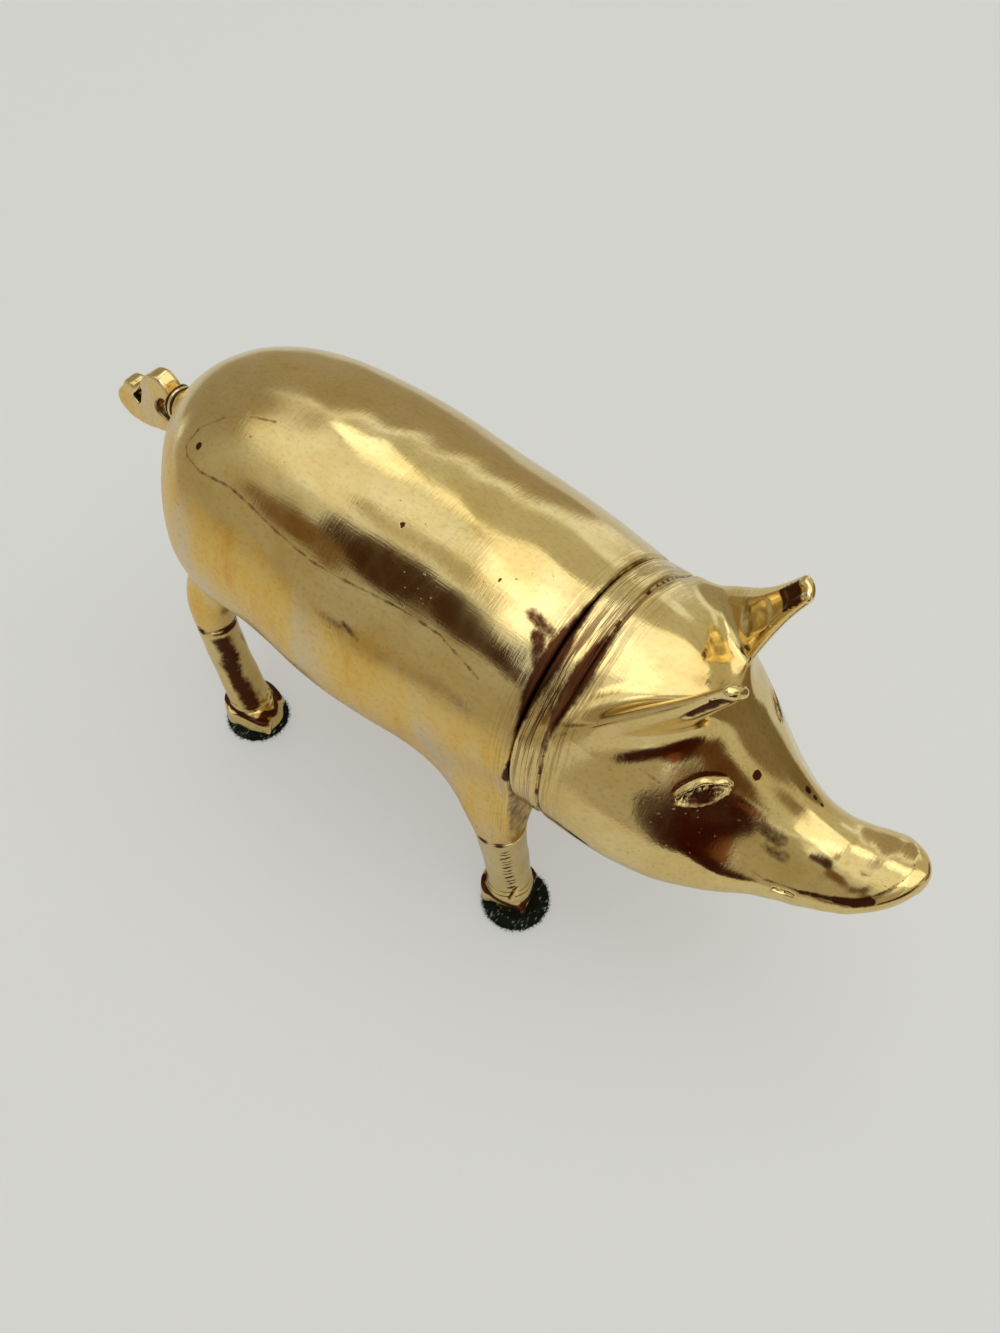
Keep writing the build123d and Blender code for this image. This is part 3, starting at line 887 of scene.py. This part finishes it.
def relax(points, quads):
    """Draw each point half way to the middle of its neighbours."""
    edges = quad_edges(quads)[0]
    total = np.zeros_like(points)
    count = np.zeros(len(points))
    for a, b in ((0, 1), (1, 0)):
        np.add.at(total, edges[:, a], points[edges[:, b]])
        np.add.at(count, edges[:, a], 1)
    return (points + total / count[:, None]) / 2


def split(points, quads):
    """Divide each face into four."""
    edges, index = quad_edges(quads)
    middles = points[edges].mean(1)
    centres = points[quads].mean(1)
    first_middle = len(points)
    first_centre = first_middle + len(edges)
    centre = first_centre + np.arange(len(quads))
    new = []
    for k in range(4):
        after, before = first_middle + index[:, k], first_middle + index[:, k - 1]
        new.append(np.stack([quads[:, k], after, centre, before], 1))
    return np.concatenate([points, middles, centres]), np.concatenate(new)


def settle(points, field, most):
    """Move points onto the surface."""
    for i in range(3):
        way = slope(points, field)
        move = way * (field(points) / np.maximum((way**2).sum(1), 0.05))[:, None]
        length = np.linalg.norm(move, axis=1, keepdims=True)
        points = points - move * np.minimum(1, most / np.maximum(length, 1e-9))
    return points


def add_object(name, data):
    thing = bpy.data.objects.new(name, data)
    bpy.context.collection.objects.link(thing)
    return thing


def add_mesh(name, points, faces, material, normals=None):
    """A smooth mesh object, from points in millimetres."""
    mesh = bpy.data.meshes.new(name)
    mesh.from_pydata((np.asarray(points) * MM).tolist(), [], [list(face) for face in faces])
    mesh.shade_smooth()
    if normals is not None:
        mesh.normals_split_custom_set_from_vertices(normals.tolist())
    mesh.materials.append(material)
    return add_object(name, mesh)


def spot(p, at, radius):
    """1 within a radius of a place, fading out over a soft edge."""
    off = np.linalg.norm(p - np.array(at), axis=1)
    return 1 - fade(off, radius - spot_soft / 2, radius + spot_soft / 2)


def streak(p, ends, half, soft):
    """1 along a line between two places, fading out sideways."""
    a, b = (np.array(end, float) for end in ends)
    share = np.clip((p - a) @ (b - a) / ((b - a) @ (b - a)), 0, 1)
    off = np.linalg.norm(p - a - share[:, None] * (b - a), axis=1)
    return 1 - fade(off, half, half + soft)


def neck_turn(p):
    """Angle round the neck, from the right side up."""
    return np.degrees(np.arctan2(p[:, 2] - neck_axis_height, -p[:, 1]))


def neck_stain(p):
    """Old dirt in both neck grooves, thickest over the right shoulder."""
    x = p[:, 0]
    turn = neck_turn(p)
    shoulder = bump(turn - 52.0, 24.0)
    wander = 0.4 * (0.5 * np.sin(turn / 9.0) + 0.3 * np.sin(turn / 3.7))
    seam = bump(x - neck_x - wander, 1.0 + 2.2 * shoulder) * (0.45 + 0.5 * shoulder)
    groove = bump(x - second_groove_x - wander, 0.9 + 2.0 * shoulder) * (0.4 + 0.5 * shoulder)
    return np.maximum(seam, groove)


def dirt_and_painted_reflection(p, spots, streaks):
    """Dirt in the neck grooves, with dark spots and smears; on the head some of the smears are a painted
    dark reflection.
    """
    stain_and_painted_reflection = neck_stain(p)
    for at, radius in spots:
        stain_and_painted_reflection = np.maximum(stain_and_painted_reflection, spot(p, at, radius))
    for ends, half, soft, strength in streaks:
        stain_and_painted_reflection = np.maximum(stain_and_painted_reflection, strength * streak(p, ends, half, soft))
    return stain_and_painted_reflection


def joint_stain(p, lift):
    """A thin broken dark line where a leg meets its stub."""
    broken = 0.5 + 0.5 * np.sin(p[:, 0] * 1.3 + 0.8 * np.sin(p[:, 1] * 0.9))
    return (0.35 + 0.5 * broken) * bump(p[:, 2] - joint_height - lift, 0.9)


def body_stain(p):
    line = (flank_line_half, flank_line_soft, flank_line_strength)
    streaks = body_streaks + [(ends, *line) for ends in zip(flank_line, flank_line[1:])]
    return np.maximum(dirt_and_painted_reflection(p, body_spots, streaks), joint_stain(p, 1.0))


def head_stain_and_painted_reflection(p):
    # Smears, of which those along the underside of the snout are a painted dark reflection; further down the
    # eye socket is made darker.
    stain_and_painted_reflection = dirt_and_painted_reflection(p, head_spots, head_smears_and_painted_reflection)
    for ear in ears:
        stain_and_painted_reflection = np.maximum(stain_and_painted_reflection, ear.stain_and_painted_reflection(p))
    ahead, up, out = eye_patch.place(p)
    socket = bump(np.hypot(ahead / 7.0, (up + 0.5) / 3.0), 0.9) * (np.abs(out) < eye_reach)
    return np.maximum(stain_and_painted_reflection, 0.78 * socket)


def leg_stain_and_painted_reflection(end, side):
    """Dirt at the joint, down the front face and round the hoof, with a strip of painted dark reflection
    down the leg.
    """
    def stain_and_painted_reflection(p):
        z = p[:, 2]
        turn = leg_turn(p, end, side)
        along, outward = leg_place(p, end, side)
        above_hoof = z - hoof_top[end] + hoof_top_slant * along
        bevel = 0.95 * bump(above_hoof - 0.3 - 0.5 * np.sin(outward * 1.1), 1.0)
        way, half, low, high = leg_ticks[end]
        ticks = fade(np.sin(z * 3.0 + 0.09 * turn + np.sin(z)), 0.0, 0.7)
        hatch = 0.8 * bump(turn - way, half) * window(z, low, low + 2, high - 2, high) * ticks
        # A strip of painted dark reflection down the leg.
        way, half, low, high, strength = leg_painted_reflection_strips[end]
        painted_reflection_strip = bump(turn - way - 5 * np.sin(z / 3.1), half) * window(z, low, low + 3, high - 3, high)
        rim = 0.5 * (1 - fade(z, hoof_bottom + 0.6, hoof_bottom + 1.4))
        return np.max([joint_stain(p, -0.6), bevel, hatch, strength * painted_reflection_strip, rim], axis=0)

    return stain_and_painted_reflection


def tail_stain(p):
    rings = np.max([bump(p[:, 0] - groove_x, 0.7) for groove_x in stem_grooves_at], axis=0)
    loop = 0.5 * bump(outline_distance(p, loop_hole) - 0.2, 0.9)
    return np.maximum(0.8 * rings, loop)


def tail_satin(p):
    """The flat sides of the curl are rough, its rim is polished."""
    return 0.9 * fade(np.abs(p[:, 1]), 1.9, 2.6)


def satin_share(p):
    """The unpolished lower flanks and belly."""
    x = p[:, 0]
    edge = satin_edge_height - 0.12 * (x - 5.0) + 1.6 * np.sin(x / 8.0) + np.sin(x / 3.1 + 1.0)
    return 1 - fade(p[:, 2], edge - 2.5, edge + 1.0)


def filed_share(p):
    """File marks round the neck, thickest over the right shoulder."""
    around = 0.45 + 0.55 * bump(neck_turn(p) - 50.0, 36.0)
    return around * bump(p[:, 0] - 46.8, 6.8)


def none(p):
    return np.zeros(len(p))


def convexity(points, quads, normals):
    """How sharply the surface turns at each point, above 0 at an edge and below 0 in a crease."""
    a, b = quad_edges(quads)[0].T
    off = points[a] - points[b]
    turn = ((normals[a] - normals[b]) * off).sum(1) / np.maximum((off**2).sum(1), 1e-6)
    total = np.zeros(len(points))
    count = np.zeros(len(points))
    for side in (a, b):
        np.add.at(total, side, turn)
        np.add.at(count, side, 1)
    return total / count


def add_marks(piece, points, quads, normals, marks):
    """Stain and painted dark reflection, darker in creases, satin and filed shares at each point, and wear
    on its edges.
    """
    turn = convexity(points, quads, normals)
    stain_and_painted_reflection, satin, filed = (mark(points) for mark in marks)
    # Creases are made darker by how sharply the surface turns in.
    crease = fade(-turn, 0.12, 0.9)
    values = {
        "stain_and_painted_reflection": np.maximum(stain_and_painted_reflection, 0.8 * crease),
        "satin": satin,
        "filed": filed,
        "wear": fade(turn, 0.2, 0.8),
    }
    for name, value in values.items():
        layer = piece.data.attributes.new(name, "FLOAT", "POINT")
        layer.data.foreach_set("value", np.clip(value, 0, 1).astype(np.float32))


def dress(piece, node):
    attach(piece, "root")
    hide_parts(node)


def cast_piece(node, field, net, material, marks):
    """One casting: its net is settled on the surface, split finer and given the surface's own normals."""
    low, high, step = net
    points, quads = surface_net(field, low, high, step)
    for i in range(2):
        points = settle(relax(points, quads), field, step / 2)
    points, quads = split(points, quads)
    points = settle(points, field, step / 2)
    normals = unit(slope(points, field))
    piece = add_mesh(node + "_cast", points, quads.tolist(), material, normals)
    add_marks(piece, points, quads, normals, marks)
    dress(piece, node)


class Nodes:
    """Short ways to add and link the shader nodes of one tree."""

    def __init__(self, tree):
        self.tree = tree
        tree.nodes.clear()
        self.place = self.add("ShaderNodeTexCoord")

    def feed(self, socket, value):
        """Link what another node gives, or set a constant."""
        if isinstance(value, bpy.types.NodeSocket):
            self.tree.links.new(value, socket)
        elif socket.type == "RGBA":
            socket.default_value = (*value, 1)
        else:
            socket.default_value = value

    def add(self, kind, **settings):
        node = self.tree.nodes.new(kind)
        for name, value in settings.items():
            if name in node.inputs:
                self.feed(node.inputs[name], value)
            else:
                setattr(node, name, value)
        return node

    def join(self, kind, values, **settings):
        """A node whose inputs are given in order."""
        node = self.add(kind, **settings)
        for i, value in enumerate(values):
            self.feed(node.inputs[i], value)
        return node

    def times(self, a, b):
        return self.join("ShaderNodeMath", (a, b), operation="MULTIPLY").outputs["Value"]

    def plus(self, a, b):
        return self.join("ShaderNodeMath", (a, b), operation="ADD").outputs["Value"]

    def most(self, a, b):
        return self.join("ShaderNodeMath", (a, b), operation="MAXIMUM").outputs["Value"]

    def dot(self, a, b):
        return self.join("ShaderNodeVectorMath", (a, b), operation="DOT_PRODUCT").outputs["Value"]

    def either(self, share, a, b):
        """One shader, or by a share the other."""
        return self.join("ShaderNodeMixShader", (share, a, b)).outputs["Shader"]

    def mix(self, share, a, b):
        """One colour, or by a share the other."""
        mix = self.add("ShaderNodeMix", data_type="RGBA")
        for i, value in ((0, share), (6, a), (7, b)):
            self.feed(mix.inputs[i], value)
        return mix.outputs[2]

    def noise(self, stretch, detail=3.0, turn=(0, 0, 0)):
        """Noise of some cycles a metre, the same every way or its own along each axis."""
        stretch = (stretch,) * 3 if isinstance(stretch, float) else stretch
        turn = tuple(math.radians(angle) for angle in turn)
        mapping = self.add("ShaderNodeMapping", vector_type="POINT", Scale=stretch, Rotation=turn)
        self.feed(mapping.inputs["Vector"], self.place.outputs["Object"])
        return self.even_noise(1.0, detail, 0.6, mapping.outputs["Vector"])

    def even_noise(self, scale, detail, roughness, place):
        noise = self.add("ShaderNodeTexNoise", Scale=scale, Detail=detail, Roughness=roughness, Vector=place)
        return noise.outputs["Fac"]

    def span(self, value, low, high, to_low=0.0, to_high=1.0):
        """A value stretched between two bounds, smoothly."""
        limits = {"From Min": low, "From Max": high, "To Min": to_low, "To Max": to_high}
        node = self.add("ShaderNodeMapRange", interpolation_type="SMOOTHSTEP", Value=value, **limits)
        return node.outputs["Result"]

    def ramp(self, value, stops):
        ramp = self.add("ShaderNodeValToRGB", Fac=value)
        elements = ramp.color_ramp.elements
        for i, (at, colour) in enumerate(stops):
            stop = elements[i] if i < 2 else elements.new(at)
            stop.position = at
            stop.color = (*colour, 1)
        return ramp.outputs["Color"]

    def share(self, name):
        """A share stored at the mesh's points."""
        return self.add("ShaderNodeAttribute", attribute_name=name).outputs["Fac"]

    def bump(self, height, strength, distance):
        node = self.add("ShaderNodeBump", Strength=strength, Distance=distance, Height=height)
        return node.outputs["Normal"]

    def surface(self, colour, roughness, **settings):
        """The shader of a surface."""
        shader = self.add("ShaderNodeBsdfPrincipled", Roughness=roughness, **settings)
        self.feed(shader.inputs["Base Color"], colour)
        return shader

    def finish(self, shader, kind="Material"):
        self.add("ShaderNodeOutput" + kind, Surface=shader)


def new_material(name):
    material = bpy.data.materials.new(name)
    material.use_nodes = True
    return material, Nodes(material.node_tree)


def brass_marks(nodes):
    """Shares of stain and painted dark reflection, file marks and pits, broken up by noise."""
    broken = nodes.plus(nodes.share("stain_and_painted_reflection"), nodes.times(nodes.noise(420.0, 4.0), 0.55))
    stain_and_painted_reflection = nodes.span(broken, 0.58, 0.92)
    lines = nodes.span(nodes.noise((1900.0, 55.0, 55.0)), 0.46, 0.58)
    filed = nodes.times(lines, nodes.share("filed"))
    dots = nodes.span(nodes.noise(820.0, 2.0), 0.70, 0.76)
    clusters = nodes.span(nodes.noise(45.0, 2.0), 0.50, 0.62)
    return stain_and_painted_reflection, filed, nodes.times(dots, clusters)


def brass_colour(nodes, stain_and_painted_reflection, filed, pits):
    bright = nodes.ramp(nodes.noise((50.0, 60.0, 60.0), 4.0), polished_tones)
    dull = nodes.ramp(nodes.noise((75.0, 45.0, 30.0), 6.0), satin_tones)
    grain = nodes.span(nodes.noise((700.0, 1100.0, 900.0), 2.0), 0.45, 0.75, 0.0, 0.30)
    layers = [
        (nodes.share("satin"), dull),
        (grain, grain_colour),
        (nodes.share("wear"), wear_colour),
        # Stains, and the painted dark reflections on the snout and legs
        (stain_and_painted_reflection, stain_and_painted_reflection_colour),
        (filed, filed_colour),
        (pits, stain_and_painted_reflection_colour),
    ]
    colour = bright
    for share, layer in layers:
        colour = nodes.mix(share, colour, layer)
    return colour


def brass_roughness(nodes, stain_and_painted_reflection, filed):
    rough = nodes.span(nodes.noise((90.0, 40.0, 40.0), 4.0), 0.30, 0.75, *polished_roughness)
    satin = nodes.share("satin")
    extras = ((satin, satin_extra_roughness), (stain_and_painted_reflection, stain_and_painted_reflection_extra_roughness), (filed, filed_extra_roughness))
    for share, extra in extras:
        rough = nodes.plus(rough, nodes.times(share, extra))
    return rough


def brass_height(nodes, stain_and_painted_reflection, filed, pits):
    """Fine scratches every way, a satin grain, and the sunken marks."""
    height = nodes.times(nodes.noise((1500.0, 60.0, 900.0)), 0.22)
    for stretch, turn in scratches:
        height = nodes.plus(height, nodes.times(nodes.noise(stretch, 2.0, turn), 0.20))
    grain = nodes.times(nodes.noise(900.0), 0.5)
    for mark, depth in ((grain, nodes.share("satin")), (stain_and_painted_reflection, -0.35), (filed, -0.8), (pits, -1.2)):
        height = nodes.plus(height, nodes.times(mark, depth))
    return height


def brass_material():
    material, nodes = new_material("polished_brass")
    stain_and_painted_reflection, filed, pits = brass_marks(nodes)
    colour = brass_colour(nodes, stain_and_painted_reflection, filed, pits)
    normal = nodes.bump(brass_height(nodes, stain_and_painted_reflection, filed, pits), 1.0, brass_bump)
    shader = nodes.surface(colour, brass_roughness(nodes, stain_and_painted_reflection, filed), Metallic=1.0, Normal=normal)
    nodes.finish(shader.outputs["BSDF"])
    return material


def felt_material():
    material, nodes = new_material("black_felt")
    fibre = nodes.even_noise(900.0, 6.0, 0.7, nodes.place.outputs["Object"])
    strands = nodes.span(nodes.noise((1900.0, 420.0, 700.0), 1.0, (0, 0, 25)), 0.57, 0.64)
    clumps = nodes.span(nodes.noise(260.0, 2.0), 0.44, 0.56)
    colour = nodes.mix(nodes.times(strands, clumps), nodes.ramp(fibre, felt_tones), dust_colour)
    shader = nodes.surface(colour, 0.95, Normal=nodes.bump(fibre, 0.8, felt_bump))
    shader.inputs["Specular IOR Level"].default_value = 0.15
    nodes.finish(shader.outputs["BSDF"])
    return material


def glue_material():
    material, nodes = new_material("pad_adhesive")
    shader = nodes.surface(nodes.ramp(nodes.noise(500.0), glue_tones), 0.8)
    shader.inputs["Specular IOR Level"].default_value = 0.1
    nodes.finish(shader.outputs["BSDF"])
    return material


def disc_rings(radius_at, count, heights):
    """Points and faces of an upright round form with its own radius at each height and angle."""
    points = []
    faces = []
    for level, height in enumerate(heights):
        for i in range(count):
            angle = 2 * math.pi * i / count
            radius = radius_at(level, angle)
            points.append((radius * math.cos(angle), radius * math.sin(angle), height))
    for level in range(len(heights) - 1):
        for i in range(count):
            a, b = level * count + i, level * count + (i + 1) % count
            faces.append((a, b, b + count, a + count))
    faces.append(tuple(range(count))[::-1])
    faces.append(tuple(range((len(heights) - 1) * count, len(heights) * count)))
    return points, faces


def add_fibres(points, faces, source):
    """Short tapered fibres that stick out round a pad's edge."""
    for i in range(pad_fibres):
        angle = source.random() * 2 * math.pi
        height = pad_thickness * (0.06 + 0.90 * source.random())
        way = angle + source.uniform(-0.9, 0.9)
        reach = source.uniform(*fibre_length)
        root = np.array([math.cos(angle), math.sin(angle), 0]) * pad_radius * 0.965 + [0, 0, height]
        rise = source.uniform(-0.35, 0.35) * reach
        tip = root + np.array([math.cos(way) * reach, math.sin(way) * reach, rise])
        tip[2] = min(max(tip[2], 0.1), pad_thickness)
        side = np.array([-math.sin(way), math.cos(way), 0]) * fibre_half
        first = len(points)
        points += [tuple(root + side), tuple(root - side), tuple(root + [0, 0, 2 * fibre_half]), tuple(tip)]
        faces += [tuple(first + i for i in face) for face in ((0, 1, 3), (1, 2, 3), (2, 0, 3), (0, 2, 1))]


def make_pad(end, hand, side, felt, glue):
    """A felt pad with a worn fuzzy edge, and the film of adhesive between it and the hoof."""
    place = end + "_" + hand
    source = random.Random(place)
    rough = [source.random() for i in range(pad_sides)]

    def radius_at(level, angle):
        i = int(angle / (2 * math.pi) * pad_sides) % pad_sides
        return pad_radius * pad_rings[level][1] * (1 - pad_fray * rough[(i + 7 * level) % pad_sides])

    def film_radius_at(level, angle):
        return glue_radius + 0.15 * math.sin(5 * angle)

    centre = np.array([foot_x[end], side * foot_out, 0])
    points, faces = disc_rings(radius_at, pad_sides, [ring[0] * pad_thickness for ring in pad_rings])
    add_fibres(points, faces, source)
    pad = add_mesh("felt_pad_" + place + "_felt", np.array(points) + centre, faces, felt)
    dress(pad, "felt_pad_" + place)
    levels = [pad_thickness, pad_thickness + glue_thickness / 2, hoof_bottom]
    points, faces = disc_rings(film_radius_at, glue_sides, levels)
    film = add_mesh("pad_glue_" + place + "_film", np.array(points) + centre, faces, glue)
    dress(film, "pad_glue_" + place)


def seen_share(nodes):
    """How much of the plain floor colour shows: all to the eye, less to the polished metal."""
    ray = nodes.add("ShaderNodeLightPath")
    metal = nodes.times(ray.outputs["Is Glossy Ray"], floor_mirrored_share)
    seen = nodes.most(nodes.most(ray.outputs["Is Camera Ray"], metal), ray.outputs["Is Transmission Ray"])
    return nodes.times(seen, floor_seen_share)


def make_floor():
    """A sheet of paper that fades out at its edges and far from the pig."""
    mesh = bpy.data.meshes.new("floor")
    corners = [(x * floor_half, y * floor_half, 0) for x, y in ((-1, -1), (1, -1), (1, 1), (-1, 1))]
    mesh.from_pydata(corners, [], [(0, 1, 2, 3)])
    material, nodes = new_material("paper_floor")
    place = nodes.place.outputs["Object"]
    away = nodes.join("ShaderNodeVectorMath", (place,), operation="LENGTH")
    gone = nodes.span(away.outputs["Value"], *floor_fades_at)
    for way, ends in floor_edges:
        gone = nodes.most(gone, nodes.span(nodes.dot(place, way), *ends))
    paper = nodes.surface(floor_colour, 0.7).outputs["BSDF"]
    glow = nodes.add("ShaderNodeEmission", Color=floor_seen).outputs["Emission"]
    clear = nodes.add("ShaderNodeBsdfTransparent").outputs["BSDF"]
    nodes.finish(nodes.either(gone, nodes.either(seen_share(nodes), paper, glow), clear))
    mesh.materials.append(material)
    floor = add_object("floor", mesh)


def sky_way(azimuth, elevation):
    """Direction to a part of the studio. Azimuth runs from +Y towards +X."""
    turn, lift = math.radians(azimuth), math.radians(elevation)
    return Vector((math.sin(turn) * math.cos(lift), math.cos(turn) * math.cos(lift), math.sin(lift)))


def sky_gradient(nodes, way):
    """The studio's colour at each height."""
    parts = nodes.join("ShaderNodeSeparateXYZ", (way,))
    height = nodes.add("ShaderNodeMapRange", Value=parts.outputs["Z"], **{"From Min": -1.0})
    stops = [((sine + 1) / 2, colour) for sine, colour in studio_heights]
    return nodes.ramp(height.outputs["Result"], stops)


def make_world():
    world = bpy.data.worlds.new("studio")
    bpy.context.scene.world = world
    world.use_nodes = True
    nodes = Nodes(world.node_tree)
    way = nodes.place.outputs["Generated"]
    colour = sky_gradient(nodes, way)
    for azimuth, elevation, core, rim, tint in studio_patches:
        ends = (math.cos(math.radians(angle)) for angle in (rim, core))
        mask = nodes.span(nodes.dot(way, sky_way(azimuth, elevation)), *ends)
        colour = nodes.mix(mask, colour, tint)
    studio = nodes.add("ShaderNodeBackground", Color=colour).outputs["Background"]
    backdrop = nodes.add("ShaderNodeBackground", Color=backdrop_colour).outputs["Background"]
    seen = nodes.add("ShaderNodeLightPath").outputs["Is Camera Ray"]
    nodes.finish(nodes.either(seen, studio, backdrop), "World")


def make_lamp(name, azimuth, elevation, distance, size, power):
    light = bpy.data.lights.new(name, "AREA")
    light.size = size
    light.energy = power
    lamp = add_object(name, light)
    way = sky_way(azimuth, elevation)
    lamp.location = way * distance
    lamp.rotation_euler = way.to_track_quat("Z", "Y").to_euler()


def make_camera():
    camera = add_object("camera", bpy.data.cameras.new("camera"))
    camera.data.lens = camera_lens_mm
    camera.data.clip_start = 0.01
    back = -Vector(camera_forward).normalized()
    right = Vector(camera_right).normalized()
    turn = Matrix((right, back.cross(right), back)).transposed().to_4x4()
    camera.matrix_world = Matrix.Translation(Vector(camera_at) * MM) @ turn
    bpy.context.scene.camera = camera


def leg_net(end, side):
    low = (foot_x[end] - 18, side * foot_out - 12, 1.5)
    high = (foot_x[end] + 14, side * foot_out + 12, 45)
    return low, high, leg_net_step


def make_pieces():
    brass, felt, glue = brass_material(), felt_material(), glue_material()
    cast_piece("body_shell", body_field, body_net, brass, (body_stain, satin_share, filed_share))
    cast_piece("head_shell", head_field, head_net, brass, (head_stain_and_painted_reflection, none, filed_share))
    cast_piece("curly_tail", tail_field, tail_net, brass, (tail_stain, tail_satin, none))
    for end in ("front", "rear"):
        for hand, side in (("left", 1), ("right", -1)):
            marks = (leg_stain_and_painted_reflection(end, side), none, none)
            cast_piece("leg_" + end + "_" + hand, leg_field(end, side), leg_net(end, side), brass, marks)
            make_pad(end, hand, side, felt, glue)


bpy.context.scene.view_settings.view_transform = "Standard"
make_camera()
make_world()
for name, settings in lamps.items():
    make_lamp(name, *settings)
make_floor()
make_pieces()
